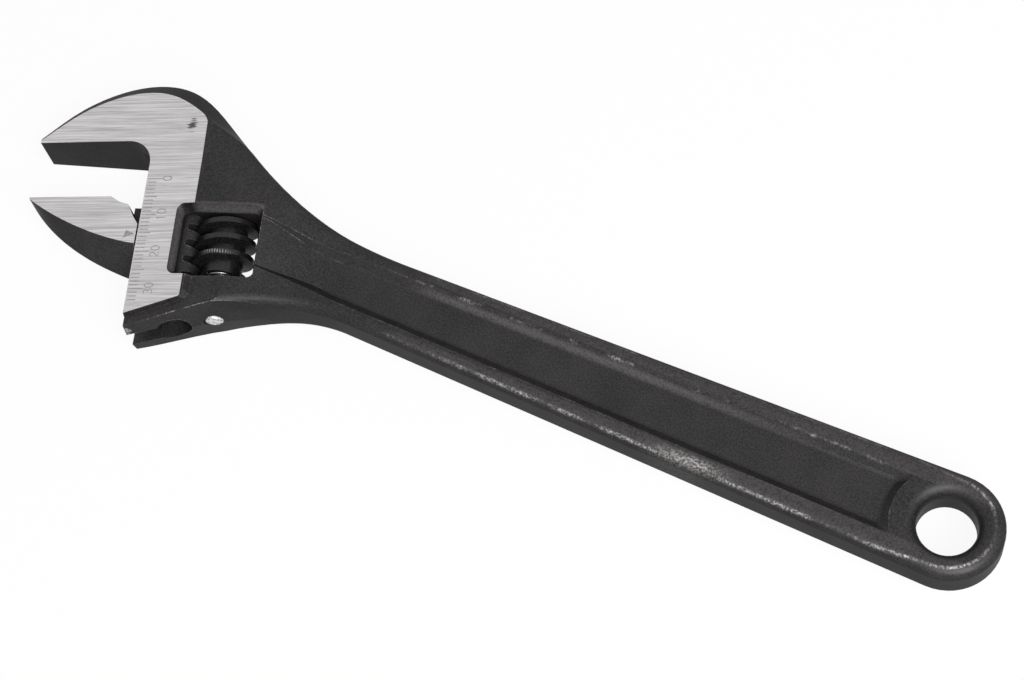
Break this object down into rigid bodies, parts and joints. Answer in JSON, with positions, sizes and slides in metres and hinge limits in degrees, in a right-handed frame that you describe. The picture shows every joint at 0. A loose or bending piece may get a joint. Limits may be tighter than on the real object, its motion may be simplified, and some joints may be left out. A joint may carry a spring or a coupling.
{
  "type": "adjustable wrench",
  "caption": "Black adjustable wrench with bright ground head faces, an angled fixed jaw, a sliding lower jaw moved by a thumb worm on a pin, a recessed handle and a hang hole.",
  "frame": {"origin": "middle of the hang hole, on the mid plane of the handle", "axes": "+X from the head along the handle to its hanging end, +Y towards the fixed jaw's side, +Z out of the face with the scale"},
  "size_m": [0.255, 0.0645, 0.0186],
  "materials": {
    "forged_body": "black oxide with ground head faces",
    "forged_jaw": "black oxide with ground side faces",
    "worm_steel": "oiled black oxide",
    "pin_steel": "bright",
    "spring_steel": "drawn wire"
  },
  "bodies": {
    "frame": {"wrench_body": "forged_body", "worm_pin": "pin_steel", "worm_spring": "spring_steel"},
    "jaw": {"movable_jaw": "forged_jaw"},
    "worm": {"adjusting_worm": "worm_steel"}
  },
  "joints": [
    {"name": "jaw_slide", "type": "slide", "parent": "frame", "child": "jaw", "axis": [0.3584, -0.9336, 0], "range_m": [-0.01536, 0.013]},
    {"name": "worm_spin", "type": "hinge", "parent": "frame", "child": "worm", "pos_m": [-0.18543, -0.00368, 0], "axis": [0.3584, -0.9336, 0], "range_deg": [-1092, 1290]}
  ],
  "couplings": [
    {"joint": "worm_spin", "follows": "jaw_slide", "rad_per_m": -1461.2}
  ]
}
